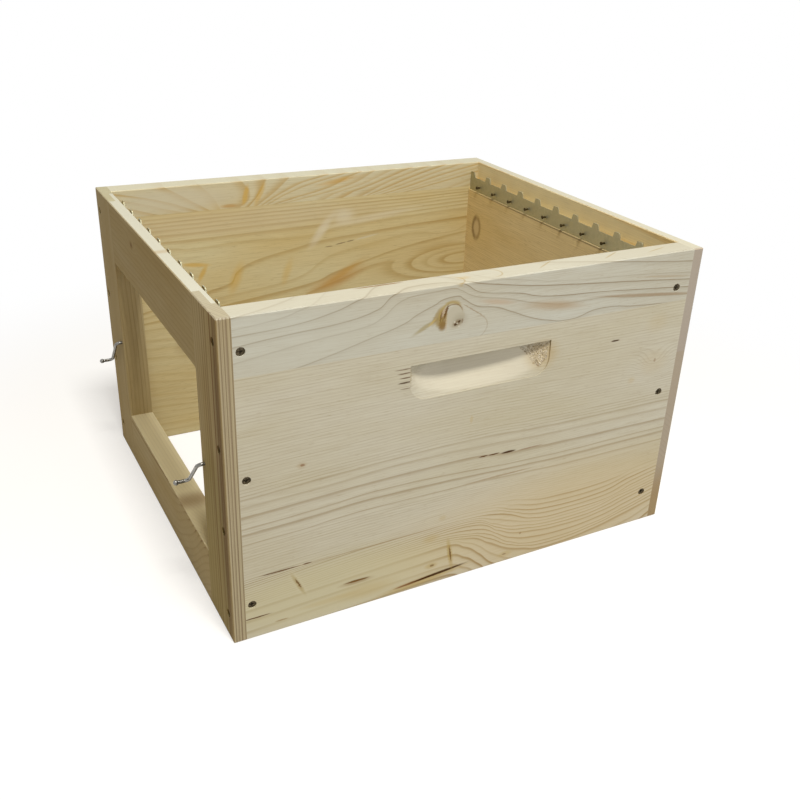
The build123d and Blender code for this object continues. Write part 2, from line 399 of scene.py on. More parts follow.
@dataclass
class PineBoard:
    """One board: the part that it is, how it lies, its figure and its pine. Pattern sizes are in mm.

    While its finish is built, it holds what adds a node to that, and the node of the place on the board.
    """

    node: str
    lie: Lie
    figure: Figure
    pine: PlanedPine

    # Long waves of the rings, and on top of them a short shiver, which is so many times smaller
    wave: Grain = Grain((170.0, 40.0))
    shiver: Grain = Grain((26.0, 7.0))
    shiver_part: float = 5.0
    # Broad changes of tone
    cloud: Grain = Grain((210.0, 55.0), 2.0, (0.35, 0.7))
    # Fibres and resin canals are finer than this, and are drawn this coarse so that they show
    fibre: Grain = Grain((38.0, 0.9), 3.0, (0.42, 0.8), 0.3)
    canal: Grain = Grain((9.0, 0.55), 0.0, (0.72, 0.82), 0.35)
    # The ragged edges of marks, and how deep the rags are
    rag: Grain = Grain((5.0, 1.4), 2.0)
    rag_depth: Pair = (2.4, 0.7)
    # How squarely a face looks up to begin to get painted highlight, or along the fibres to be end grain, and to
    # be wholly so
    squareness: Pair = (0.6, 0.95)
    # The late wood's share in the relief, the relief's height and how strongly it shades
    late_relief: float = 0.6
    relief: float = 0.15
    relief_shade: float = 0.25

    add: Callable[..., Node] = field(init=False, repr=False)
    point: Node = field(init=False, repr=False)

    def material(self) -> Material:
        """Builds the board's finish.

        Returns:
            Raw planed pine, dull, with the rings, fibres and marks of this board.
        """
        material, tree = new_material(f"planed_pine_{self.node}")
        self.add = partial(add_node, tree)
        self.point = self._place()
        count, height = self._ring_count()
        late = self.add("ShaderNodeGroup", {"Count": count, "Width": self.figure.late_width},
                        node_tree=late_wood_group())
        bold = self._curve(height, self.figure.boldness)
        line = self.add("ShaderNodeMath", {0: late, 1: bold}, operation="MULTIPLY")
        fibre = self._noise(self.fibre)
        colour, ragged = self._wood_colour(line, fibre), self._ragged_place()
        for mark in self.figure.marks:
            colour = self._marked(mark, colour, ragged)
        self._surface(colour, line, fibre)
        return material

    def _place(self) -> Node:
        """Finds the place on the board.

        Returns:
            The node of the place in mm: along, across and through the board.
        """
        place = self.add("ShaderNodeTexCoord").outputs["Object"]
        corner = tuple(-MM_PER_M * value for value in BOX_CORNER)
        millimetres = self.add("ShaderNodeVectorMath", {0: place, 1: (MM_PER_M,) * 3, 2: corner},
                               operation="MULTIPLY_ADD")
        axes = self.add("ShaderNodeSeparateXYZ", {0: millimetres}).outputs
        return self.add("ShaderNodeCombineXYZ", dict(enumerate(axes[axis] for axis in self.lie.value)))

    def _noise(self, grain: Grain) -> Node:
        """Draws a pattern of noise.

        Args:
            grain: The pattern.

        Returns:
            The noise node.
        """
        along, across = grain.size
        stretched = self.add("ShaderNodeVectorMath", {0: self.point, 1: (1 / along, 1 / across, 1 / across)},
                             operation="MULTIPLY")
        return self.add("ShaderNodeTexNoise", {"Vector": stretched, "Scale": 1.0, "Detail": grain.detail})

    def _curve(self, place: Node | Socket, points: tuple[Pair, ...]) -> Node | float:
        """Reads a value off a smooth curve.

        Args:
            place: Where on the curve to read it.
            points: The curve's points, place and value.

        Returns:
            The node of the value, or the value itself where the curve has only one.
        """
        values = [value for _, value in points]
        first, last, low, high = points[0][0], points[-1][0], min(values), max(values)
        if low == high:
            return low
        share = self.add("ShaderNodeMapRange", {"Value": place, "From Min": first, "From Max": last})
        node = self.add("ShaderNodeFloatCurve", {"Value": share})
        curve = node.mapping.curves[0]
        while len(curve.points) < len(points):
            curve.points.new(0.5, 0.5)
        for knee, (at, value) in zip(curve.points, points):
            knee.location = ((at - first) / (last - first), (value - low) / (high - low))
            knee.handle_type = "AUTO_CLAMPED"
        node.mapping.update()
        return self.add("ShaderNodeMapRange", {"Value": node, "To Min": low, "To Max": high}, clamp=False)

    def _ring_count(self) -> tuple[Node, Node]:
        """Counts the growth rings up to a place, between the guides on either side of it.

        Returns:
            The nodes of the count and of the height across the board that it was read at.
        """
        add, figure = self.add, self.figure
        axes = add("ShaderNodeSeparateXYZ", {0: self.point}).outputs
        behind = add("ShaderNodeMath", {0: axes["Z"], 1: figure.face}, operation="SUBTRACT")
        height = add("ShaderNodeMath", {0: behind, 1: figure.slant, 2: axes["Y"]}, operation="MULTIPLY_ADD")
        for grain, depth in ((self.wave, figure.ripple), (self.shiver, figure.ripple / self.shiver_part)):
            reach = NOISE_GAIN * depth
            shift = add("ShaderNodeMapRange", {"Value": self._noise(grain), "To Min": -reach, "To Max": reach})
            height = add("ShaderNodeMath", {0: height, 1: shift}, operation="ADD")
        along, across = axes["X"], height
        if figure.run is Run.EDGE_TO_EDGE:
            along, across = height, axes["X"]
        lines = [self._curve(along, guide.points) for guide in figure.guides]
        count: Node | float = figure.guides[0].ring
        for place in range(1, len(lines)):
            rings = figure.guides[place].ring - figure.guides[place - 1].ring
            start = add("ShaderNodeMath", {0: lines[place], 1: figure.broadest * rings}, operation="SUBTRACT")
            start = add("ShaderNodeMath", {0: start, 1: lines[place - 1]}, operation="MAXIMUM")
            step = add("ShaderNodeMapRange", {"Value": across, "From Min": start, "From Max": lines[place],
                                              "To Max": rings})
            count = add("ShaderNodeMath", {0: count, 1: step}, operation="ADD")
        for swell in figure.swells:
            count = add("ShaderNodeGroup", {
                "Point": self.point, "Centre": (*swell.at, 0), "Reach": (*swell.reach, ALL_THROUGH),
                "Rings": swell.rings, "Count": count}, node_tree=swell_group())
        return count, height

    def _wood_colour(self, line: Node, fibre: Node) -> Node:
        """Colours the clear wood: its tone, rings, fibres and resin canals, its painted rim highlight and its end
        grain.

        Args:
            line: How dark the late wood is.
            fibre: The noise of the fibres.

        Returns:
            The node of the colour.
        """
        add, pine = self.add, self.pine
        place, facing = (add("ShaderNodeSeparateXYZ", {0: add("ShaderNodeTexCoord").outputs[kind]}).outputs
                         for kind in ("Object", "Normal"))
        end = add("ShaderNodeMath", {0: facing[self.lie.value[0]]}, operation="ABSOLUTE")
        # Painted highlight: upward faces at the top of the box are paled, as if lit from above
        up = add("ShaderNodeMath", {0: facing["Z"], 1: end}, operation="SUBTRACT")
        high = add("ShaderNodeMath", {0: place["Z"], 1: RIM_HEIGHT}, operation="GREATER_THAN")
        rim_highlight = add("ShaderNodeMath", {0: up, 1: high}, operation="MULTIPLY")
        cloud, canal = self._noise(self.cloud), self._noise(self.canal)
        tone, streak, dash, on_rim_highlight, on_end = (
            add("ShaderNodeMapRange", {"Value": value, "From Min": least, "From Max": most, "To Max": cover})
            for value, (least, most), cover in (
                (cloud, self.cloud.between, self.cloud.cover), (fibre, self.fibre.between, self.fibre.cover),
                (canal, self.canal.between, self.canal.cover), (rim_highlight, self.squareness, pine.rim_highlight_cover),
                (end, self.squareness, 1.0)))
        colour: Node | Colour = linear(pine.early)
        for share, stain, blend in ((tone, pine.warm, "MIX"), (line, pine.late, "MIX"),
                                    (streak, pine.fibre, "MIX"), (dash, pine.fibre, "MIX"),
                                    (on_rim_highlight, pine.rim_highlight, "MIX"), (on_end, pine.end, "MULTIPLY")):
            colour = add("ShaderNodeMix", {MIX_FACTOR: share, MIX_A: colour, MIX_B: linear(stain)},
                         data_type="RGBA", blend_type=blend)
        return colour

    def _ragged_place(self) -> Node:
        """Shakes the place on the board, so that the edges of marks are ragged along the fibres.

        Returns:
            The node of the shaken place, flat on the board's face.
        """
        along, across = self.rag_depth
        noise = self._noise(self.rag).outputs["Color"]
        shaken = self.add("ShaderNodeVectorMath", {0: noise, 1: (along, across, 0), 2: self.point},
                          operation="MULTIPLY_ADD")
        shaken = self.add("ShaderNodeVectorMath", {0: shaken, 1: (along / 2, across / 2, 0)}, operation="SUBTRACT")
        return self.add("ShaderNodeVectorMath", {0: shaken, 1: (1, 1, 0)}, operation="MULTIPLY")

    def _marked(self, mark: Mark, colour: Node, ragged: Node) -> Node:
        """Puts one more mark on the wood.

        Args:
            mark: The mark.
            colour: The wood's colour so far.
            ragged: The shaken place on the board.

        Returns:
            The node of the colour with the mark.
        """
        add, place, cover = self.add, ragged, mark.cover
        if mark.depth is not None:
            axes = add("ShaderNodeSeparateXYZ", {0: self.point}).outputs
            along, across, behind = (axes[axis] for axis in mark.plane.value)
            inside = add("ShaderNodeMath", {0: behind, 1: mark.depth[0], 2: mark.depth[1]}, operation="COMPARE")
            cover = add("ShaderNodeMath", {0: inside, 1: mark.cover}, operation="MULTIPLY")
            if mark.plane is Plane.RIM:
                place = add("ShaderNodeCombineXYZ", {0: along, 1: across})
        mask = add("ShaderNodeGroup", {
            "Point": place, "Centre": (*mark.at, 0), "Reach": (*mark.reach, 1), "Turn": math.radians(mark.turn),
            "Edge": mark.edge, "Cover": cover}, node_tree=spot_group(mark.form))
        return add("ShaderNodeMix", {MIX_FACTOR: mask, MIX_A: colour, MIX_B: linear(mark.colour)},
                   data_type="RGBA")

    def _surface(self, colour: Node, line: Node, fibre: Node) -> None:
        """Ends the material: a dull surface, with the late wood and fibres standing a little proud.

        Args:
            colour: The wood's colour.
            line: How dark the late wood is.
            fibre: The noise of the fibres.
        """
        relief = self.add("ShaderNodeMath", {0: line, 1: self.late_relief, 2: fibre}, operation="MULTIPLY_ADD")
        bump = self.add("ShaderNodeBump", {"Height": relief, "Strength": self.relief_shade,
                                           "Distance": self.relief * MM})
        shader = self.add("ShaderNodeBsdfPrincipled", {
            "Base Color": colour, "Normal": bump, "Roughness": self.pine.roughness,
            "Specular IOR Level": self.pine.specular})
        self.add("ShaderNodeOutputMaterial", {"Surface": shader})


# Stains of the wood's marks
PITCH, CHAR, RUST, BARK, OCHRE, HEART, TAN, GOLD, STRAW, CHALK = (
    "#54300F", "#40230A", "#7C5230", "#664623", "#B39A5C", "#8A6A3C", "#BBA678", "#CFA648", "#A88C4C", "#DDD5BC")


@dataclass
class Wall:
    """One wall of the box and its boards.

    Marks are listed as they lie on each other. A face that marks keep to is a place through the wall and the
    reach each way, in mm.
    """

    boards: tuple[PineBoard, ...] = ()

    def dress(self) -> None:
        """Gives each board its own piece of pine."""
        for board in self.boards:
            dress(board.node, board.material())


@dataclass
class FrontWall(Wall):
    """The front: a lower board with the hand hold in it, and an upper board with a knot."""

    # Pale sapwood with brown lines below, and greyer sapwood with soft broad lines above
    lower_pine: PlanedPine = PlanedPine(early="#C8C3B0", warm="#C2BBA2", late="#83683F", rim_highlight="#C9C5B3")
    upper_pine: PlanedPine = PlanedPine(early="#C4C3B5", warm="#BFBAA7", late="#837257", rim_highlight="#CFCBB9",
                                        rim_highlight_cover=0.45)
    outer_face: Pair = (0, 20)
    rim_face: Pair = (316, 3)
    # Deep arcs at the lower right, broad straight rings over them, and fine ones at the top
    lower_rings: Guides = (
        Guide(0, ((0, -40),)),
        Guide(4, ((0, 33), (183, 41), (217, 42), (242, 34), (260, 21), (285, 0), (330, -15), (420, -12),
                  (500, 14))),
        Guide(6, ((0, 38), (200, 47), (245, 43), (270, 31), (315, 11), (357, 4), (407, 8.5), (440, 15),
                  (500, 29))),
        Guide(8, ((0, 42), (200, 52), (250, 47), (298, 23), (332, 13.5), (365, 12), (407, 15), (448, 24),
                  (500, 38))),
        Guide(10, ((0, 47), (200, 57), (235, 58), (280, 43), (315, 31), (382, 25.5), (415, 28.5), (448, 36),
                   (500, 47))),
        Guide(12, ((0, 52), (200, 62), (235, 63), (273, 53), (307, 41), (373, 34), (440, 43), (500, 53))),
        Guide(14, ((0, 57), (200, 67), (257, 66), (323, 46), (357, 42), (390, 42), (457, 53), (500, 61))),
        Guide(16, ((0, 62), (200, 71), (240, 74), (297, 64), (348, 54), (378, 53), (448, 62), (500, 71))),
        Guide(18, ((0, 66.5), (200, 75), (257, 78), (340, 67), (390, 66), (457, 74), (500, 79))),
        Guide(29, ((0, 99), (92, 102), (150, 103.5), (217, 103), (300, 98), (400, 95), (500, 97))),
        Guide(30, ((0, 104), (70, 106), (143, 109), (217, 108.5), (307, 106), (400, 103), (500, 103))),
        Guide(31, ((0, 115), (83, 118), (167, 120), (217, 119), (307, 115), (400, 113), (500, 113))),
        Guide(32, ((0, 120.5), (93, 124), (167, 127), (208, 126), (307, 120), (400, 118), (500, 118))),
        Guide(33, ((0, 133), (83, 136), (167, 138.5), (217, 139), (292, 133.4), (400, 130), (500, 129))),
        Guide(34, ((0, 143), (108, 146), (192, 150), (250, 149), (307, 146), (400, 143), (500, 142))),
        Guide(35, ((0, 150.5), (142, 156), (233, 158), (307, 155), (400, 152), (500, 151))),
        Guide(75, ((0, 275),)),
    )
    lower_streaks: Marks = (
        # Plain sapwood at the lower left with faint ochre patches, and warmer wood at the lower right
        Mark((95, 30), (125, 34), "#C4BC9A", 0.8, edge=0.45),
        Mark((385, 38), (190, 58), "#CCB78A", 0.5, edge=0.6),
        Mark((133, 16), (26, 7), OCHRE, 0.3, edge=0.7),
        Mark((95, 17), (26, 3), OCHRE, 0.25, edge=0.6),
        # Resin streaks and cracks
        Mark((122.5, 30.7), (12, 1.1), PITCH, 0.95),
        Mark((122, 29.5), (14, 2.2), HEART, 0.5, edge=0.7),
        Mark((22, 22.3), (13, 0.7), PITCH, 0.9),
        Mark((46, 11), (6, 0.8), HEART, 0.6),
        Mark((196, 7.6), (40, 3.4), OCHRE, 0.7, turn=4.3, edge=0.7),
        Mark((184, 8.2), (20, 1.3), RUST, 0.85, turn=4.3),
        Mark((213, 10.5), (30, 1.5), CHAR, 0.95, turn=4.3),
        Mark((46, 66.6), (18, 0.7), PITCH, 0.85),
        Mark((72, 66.8), (4, 0.8), PITCH, 0.8),
        Mark((128, 66.2), (80, 0.6), HEART, 0.35),
        Mark((256, 135), (5, 0.7), PITCH, 0.9),
        Mark((268, 134.6), (6, 0.7), PITCH, 0.9),
        Mark((285, 133.4), (8, 1.1), CHAR, 0.95),
        Mark((312, 132.2), (14, 0.7), RUST, 0.5),
        Mark((276, 108), (38, 1.0), HEART, 0.45),
        Mark((402, 232), (5, 0.9), CHAR, 0.9),
    )
    # Splinters left of the hand hold, its clean wood, and torn end grain in its right end
    hold_marks: Marks = on_face(outer_face, (
        Mark((165, 244), (8, 0.6), PITCH, 0.6),
        Mark((166, 240), (7, 0.6), PITCH, 0.75),
        Mark((167, 235.5), (6, 0.6), PITCH, 0.75),
        Mark((167, 231), (7, 0.8), CHAR, 0.85),
        Mark((168, 225), (6, 0.5), PITCH, 0.6),
        Mark((173, 236), (1.0, 9), "#9C8A66", 0.5, edge=0.6),
        Mark((247, 229), (72, 17), "#D6CFBA", 0.6, edge=0.12),
        Mark((314, 232), (15, 13), "#B8A070", 0.55, edge=0.6),
        Mark((316, 225), (1.6, 1.0), HEART, 0.6),
        Mark((311, 221), (1.4, 1.0), HEART, 0.5),
        Mark((319.5, 229), (1.2, 1.4), BARK, 0.6),
        Mark((306, 224), (1.6, 0.9), HEART, 0.45),
    ))
    lower_knots: Marks = (
        Mark((63, 46), (15, 4.0), "#C6BE9E", 0.6, turn=-64, edge=0.6),
        Mark((63, 46), (13, 1.8), "#A4905C", 0.6, turn=-64, edge=0.6),
        Mark((63, 47), (6, 0.9), BARK, 0.8, turn=-64),
        Mark((225, 30), (16, 2.4), "#AC9350", 0.65, turn=-80, edge=0.6),
        Mark((225.5, 30), (9, 0.9), BARK, 0.75, turn=-80),
        Mark((204, 22), (6, 3.0), OCHRE, 0.5, edge=0.6),
        Mark((205, 22), (2.4, 1.2), BARK, 0.65),
        Mark((293, 9), (8, 3.0), OCHRE, 0.35, edge=0.6),
        Mark((292, 9), (2.4, 1.0), BARK, 0.45),
        Mark((68, 171), (4.0, 2.6), "#A8906A", 0.4, edge=0.6),
        Mark((69, 171), (2.0, 1.2), RUST, 0.6),
        Mark((239, 179), (1.6, 4.0), TAN, 0.4),
        Mark((458, 199), (16, 12), TAN, 0.2, edge=0.6),
        Mark((459, 201), (1.4, 2.2), RUST, 0.4),
        Mark((431, 183), (4, 3.2), TAN, 0.3, edge=0.6),
        Mark((454, 243), (11, 9), TAN, 0.2, edge=0.7),
        Mark((214, 76), (4, 2.5), OCHRE, 0.25, edge=0.6),
        Mark((202, 55), (8, 4), OCHRE, 0.3, edge=0.6),
        Mark((310, 30), (1.6, 1.2), HEART, 0.5),
    )
    # Broad rings that climb over the knot and fall away to the right
    upper_rings: Guides = (
        Guide(0.1, ((0, 235),)),
        Guide(1, ((0, 258), (60, 264), (92, 270), (127, 278.5), (164, 288.3), (175, 294), (193, 300.7),
                  (206, 305.3), (214, 305.6), (221, 302.4), (233, 294.8), (240, 292.1), (252, 290.3),
                  (273, 283), (295, 274), (317, 268), (340, 265), (378, 271), (423, 267), (500, 262))),
        Guide(2, ((0, 276), (77, 286), (127, 291), (143, 297), (163, 309.7), (174, 311.8), (197, 312.8),
                  (207, 313.4), (218, 310.3), (228, 304.8), (239, 301.2), (265, 296.2), (307, 286), (340, 282),
                  (378, 282), (407, 278), (500, 269))),
        Guide(3, ((0, 290), (55, 295), (103, 297.7), (137, 304), (155, 316), (185, 321), (217, 317), (240, 305),
                  (282, 298.5), (310, 292), (373, 287.7), (448, 282), (500, 277))),
        Guide(4, ((0, 300), (55, 302), (98, 308.5), (122, 316), (185, 330), (230, 316), (260, 310),
                  (303, 303.5), (340, 300), (443, 291), (500, 285))),
        Guide(5, ((0, 305), (50, 310), (70, 315), (185, 340), (255, 316), (295, 309), (320, 305), (428, 298.5),
                  (500, 292.5))),
        Guide(6, ((0, 314), (60, 324), (185, 350), (330, 325), (448, 309), (500, 304))),
        Guide(9, ((0, 365),)),
    )
    upper_streaks: Marks = (
        # Paler wood on the left, and resin-rich late wood on the right
        Mark((60, 290), (110, 30), "#C4C2B2", 0.4, edge=0.6),
        Mark((258, 293.5), (16, 2.4), "#B79C7E", 0.5, turn=-10, edge=0.7),
        Mark((322, 281), (28, 4.0), "#A98E6A", 0.6, turn=-8, edge=0.8),
        Mark((436, 275.5), (60, 1.6), "#8E7048", 0.6, turn=-6, edge=0.6),
        Mark((455, 292), (30, 1.2), "#9A7D54", 0.35, turn=-6, edge=0.6),
        # A crack along the rim's inner edge, and the knot's stain on the rim
        Mark((149, 316), (20, 3.0), HEART, 0.75, depth=(22.0, 1.2)),
        Mark((227, 317), (6, 3.0), "#C4A768", 0.35, edge=0.7, depth=(12, 3)),
    )
    # Growth rings that cross the rim
    rim_rings: Marks = on_face(rim_face, (
        Mark((216, 9), (9.5, 9), STRAW, 0.5, edge=0.14, form=MarkForm.ARC),
        Mark((257, 14), (10.5, 10), STRAW, 0.5, edge=0.12, form=MarkForm.ARC),
        *(Mark(at, (13, 0.9), STRAW, 0.45, turn=turn)
          for at, turn in (((318, 16), 32), ((395, 16), 28), ((450, 13.5), 15))),
    ), Plane.RIM)
    # A comma of bark on the left of pale wood, with a dark eye and a thin seam on its right
    knot: Marks = (
        Mark((233, 289), (14, 0.6), HEART, 0.45, turn=-33),
        Mark((238, 273), (10, 10), HEART, 0.35, turn=10, edge=0.08, form=MarkForm.ARC),
        Mark((184, 280.6), (11.5, 1.9), "#9C8C5C", 0.65, turn=27, edge=0.6),
        Mark((195.5, 289), (8, 2.6), "#9A8450", 0.75, turn=62, edge=0.5),
        Mark((191, 283.8), (4.5, 1.0), "#C0A868", 0.7, turn=40, edge=0.5),
        Mark((201.8, 285.5), (9.5, 4.2), "#96804F", 0.9, turn=84, edge=0.35),
        Mark((198, 284), (5, 3.4), "#98824C", 0.8, turn=70, edge=0.5),
        Mark((209.5, 289), (10.8, 11.2), "#A8935A", 0.85, turn=125, edge=0.26, form=MarkForm.ARC),
        Mark((201.5, 279.5), (4.5, 3.6), "#836638", 0.75, turn=84, edge=0.5),
        Mark((214.5, 285.5), (9, 11), "#B9B29D", 0.95, turn=6, edge=0.1),
        Mark((211, 288.2), (9.4, 10.4), "#7C5E30", 0.75, turn=108, edge=0.1, form=MarkForm.ARC),
        Mark((201.6, 291.5), (4.5, 1.3), "#BCA98E", 0.85, turn=68, edge=0.4),
        Mark((204.2, 291.5), (6.5, 1.1), BARK, 0.85, turn=72, edge=0.5),
        Mark((199.4, 287.5), (5, 0.9), BARK, 0.65, turn=80, edge=0.5),
        Mark((205.2, 280.5), (7, 0.8), "#C2B294", 0.6, turn=88, edge=0.5),
        Mark((219, 283), (6.5, 5.0), "#A09781", 0.5, edge=0.7),
        Mark((216.3, 279.8), (4.6, 2.6), "#76603C", 0.65, turn=24, edge=0.6),
        Mark((214.6, 278.4), (1.6, 1.1), CHAR, 0.85, turn=30),
        Mark((218.4, 280.8), (1.5, 1.0), CHAR, 0.8, turn=40),
        Mark((213.7, 280.9), (1.0, 0.8), "#CFC8B4", 0.85),
        Mark((216.4, 279.2), (0.8, 0.6), "#CFC8B4", 0.7),
        Mark((218.1, 276.2), (0.9, 0.8), "#CFC8B4", 0.7),
        Mark((221.6, 281), (0.9, 2.2), BARK, 0.45),
    )
    lower: Figure = Figure(
        lower_rings, slant=0.5, ripple=0.8, late_width=0.38, swells=(Swell((458, 199), (20, 15), 5.0),),
        boldness=((-40, 1.2), (62, 1.2), (72, 0.3), (96, 0.35), (102, 0.58), (150, 0.52), (168, 0.3), (275, 0.25)),
        marks=lower_streaks + hold_marks + lower_knots)
    upper: Figure = Figure(
        upper_rings, slant=0.45, ripple=0.5, broadest=9, late_width=0.17,
        boldness=((235, 0.5), (270, 0.8), (365, 0.9)), marks=upper_streaks + rim_rings + knot)
    boards: tuple[PineBoard, ...] = (
        PineBoard("front_lower_board", Lie.ACROSS_THE_FRONT, lower, lower_pine),
        PineBoard("front_upper_board", Lie.ACROSS_THE_FRONT, upper, upper_pine))


@dataclass
class BackWall(Wall):
    """The back, seen from inside: rings that sweep and loop on its lower board, and fan out on its upper one."""

    # Yellow sapwood with golden lines, paler above
    lower_pine: PlanedPine = PlanedPine(early="#D4C89D", warm="#CFBB86", late="#A98743", rim_highlight="#CFCFBE")
    upper_pine: PlanedPine = PlanedPine(early="#D2CAA9", warm="#CDBD93", late="#B8944C", rim_highlight="#CFCFBE")
    inner_face: Pair = (405, 3)
    lower_rings: Guides = (
        Guide(0, ((0, -15),)),
        Guide(16, ((25, 138), (475, 142))),
        Guide(17, ((25, 150), (201, 158), (254, 172), (290, 182), (334, 198), (378, 208), (475, 219))),
        Guide(18, ((25, 156), (143, 169), (254, 182), (278, 191), (319, 201), (396, 217), (475, 225))),
        Guide(19, ((25, 162), (113, 176), (213, 187), (240, 195), (260, 207), (281, 216), (348, 226),
                   (393, 231), (443, 225), (475, 234))),
        Guide(20, ((25, 168), (113, 187), (143, 195), (149, 206), (172, 217.5), (231, 229), (260, 234),
                   (475, 246))),
        Guide(21, ((25, 246), (75, 245), (98, 242.5), (157, 245), (231, 242.5), (284, 250), (331, 253),
                   (475, 258))),
        Guide(22, ((25, 253), (138, 254), (213, 255), (284, 256), (331, 258), (475, 262.5))),
        Guide(23, ((25, 261), (213, 262.5), (284, 263), (475, 267))),
        Guide(24, ((25, 267), (284, 268), (475, 271.5))),
        Guide(27, ((25, 281), (475, 282))),
        Guide(29, ((25, 293), (475, 293))),
    )
    # Golden heartwood, pale rubbed places and a broken crack on the inside, and a knot low on the left
    lower_marks: Marks = (
        *on_face(inner_face, (
            Mark((150, 269), (190, 15), "#CBBB9C", 0.35, edge=0.6),
            Mark((100, 221), (15, 2.4), GOLD, 0.65, turn=-7, edge=0.6),
            Mark((108, 209.5), (9.5, 2.8), GOLD, 0.65, turn=61, edge=0.6),
            Mark((149, 198), (16, 5.5), GOLD, 0.5, turn=68, edge=0.8),
            Mark((215, 198), (14, 4.5), GOLD, 0.35, turn=70, edge=0.8),
            Mark((282, 178), (32, 8), "#B98840", 0.6, turn=18, edge=0.8),
            Mark((293, 188), (26, 4), "#C4943F", 0.45, turn=27, edge=0.8),
            Mark((262, 246), (20, 5), CHALK, 0.6, turn=52, edge=0.8),
            Mark((292, 262), (12, 8), CHALK, 0.55, edge=0.8),
            Mark((330, 256), (55, 4), CHALK, 0.4, turn=6, edge=0.8),
            Mark((272, 224.5), (5, 0.7), PITCH, 0.5),
            Mark((289, 227), (7, 0.7), PITCH, 0.6, turn=8),
            Mark((302, 228.6), (5, 0.7), CHAR, 0.55, turn=8),
            Mark((325, 231.5), (16, 1.2), "#CFC4A4", 0.7, turn=8),
        )),
        Mark((88, 120), (9, 7), BARK, 0.8),
        Mark((88, 120), (16, 12), HEART, 0.4, edge=0.6),
    )
    # The fan: each ring's number, and its places along the board at three heights
    fan_rings: Guides = tuple(Guide(ring, tuple(zip((285, 300, 316), places))) for ring, *places in (
        (0, 20, -40, -100), (1, 65, 10, -60), (2, 93, 40, -20), (3, 110, 69, 0), (4, 122, 99, 72),
        (5, 135, 128, 112), (6, 159, 172, 163), (7, 169, 183, 193), (8, 179, 202, 222), (10, 192, 228, 300),
        (12, 213, 302, 337), (15, 319, 357, 419), (17, 335, 400, 470), (20, 380, 475, 560), (23, 500, 560, 650)))
    fan_marks: Marks = on_face(inner_face, (
        Mark((82, 300), (62, 13), "#CEC6AC", 0.6, edge=0.5),
        Mark((165, 299), (11, 3), GOLD, 0.6, turn=75, edge=0.5),
        Mark((183, 299), (13, 3), GOLD, 0.5, turn=62, edge=0.5),
        Mark((285, 307), (24, 2.6), "#C99C48", 0.5, turn=8, edge=0.7),
        Mark((145, 288), (9, 2), "#B98A3C", 0.6, edge=0.6),
    ))
    lower: Figure = Figure(
        lower_rings, face=inner_face[0], slant=0.5, ripple=0.7, late_width=0.6,
        boldness=((-15, 0.2), (140, 0.25), (165, 0.62), (235, 0.52), (245, 0.75), (262, 0.78), (275, 0.7),
                  (300, 0.65)),
        swells=(Swell((472, 187), (88, 20), 4.4), Swell((140, 80), (120, 50), 2.0)), marks=lower_marks)
    upper: Figure = Figure(
        fan_rings, boldness=((275, 0.7), (335, 0.7)), face=inner_face[0], slant=0.0, ripple=1.0, broadest=26,
        late_width=0.7, run=Run.EDGE_TO_EDGE, marks=fan_marks)
    boards: tuple[PineBoard, ...] = (
        PineBoard("back_lower_board", Lie.ACROSS_THE_FRONT, lower, lower_pine),
        PineBoard("back_upper_board", Lie.ACROSS_THE_FRONT, upper, upper_pine))


@dataclass
class RightWall(Wall):
    """The right wall, seen from inside: two boards of fine plain rings, with one oval knot near the back."""

    # Warm sapwood with fine lines, and cool grey end grain
    pine: PlanedPine = PlanedPine(early="#E8D4A3", warm="#DFC68D", late="#A98650", rim_highlight="#CBCEC4", end="#B9BCCA")
    inside: float = 475
    rack_face: Pair = (480, 10)
    knot: Pair = (380, 235)
    lower: Figure = Figure(
        straight((-30, 0), (90, 42), (150, 52), (235, 90)), boldness=((0, 0.45), (110, 0.7), (215, 0.4)),
        face=inside, slant=0.9, swells=(Swell((150, 118), (120, 40), -2.5), Swell((330, 60), (30, 18), 4.0)),
        marks=(Mark((0, 150), (2.5, 110), "#AEA293", 0.65, edge=0.4),
               Mark((0, 10), (2.5, 45), "#A08458", 0.5, edge=0.6),
               Mark((330, 60), (7, 6), HEART, 0.8), Mark((330, 60), (3, 2.6), BARK, 0.85)))
    # Painted light behind the rack's teeth and painted shade along its lower edge, grey end grain at the front,
    # and the knot
    upper: Figure = Figure(
        straight((180, 0), (350, 70)), boldness=((195, 0.3), (330, 0.3)), face=inside, slant=0.9,
        swells=(Swell(knot, (16, 22), 4.0),),
        # Painted light above the rack, and a painted shade line below it
        marks=(*on_face(rack_face, (Mark((250, 304.5), (235, 11), "#F0ECCA", 0.42, edge=0.1),
                                    Mark((215, 281), (186, 2.0), "#8A7A5C", 0.7, edge=0.3))),
               Mark((0, 266), (2.5, 90), "#B0A69C", 0.7, edge=0.4),
               Mark(knot, (8, 13), "#CDB78A", 0.7, edge=0.2),
               Mark(knot, (8.5, 13.5), BARK, 0.65, edge=0.5, form=MarkForm.ARC),
               Mark(knot, (8.5, 13.5), HEART, 0.6, edge=0.45, turn=180, form=MarkForm.ARC)))
    boards: tuple[PineBoard, ...] = (
        PineBoard("right_lower_board", Lie.ALONG_THE_SIDE, lower, pine),
        PineBoard("right_upper_board", Lie.ALONG_THE_SIDE, upper, pine))


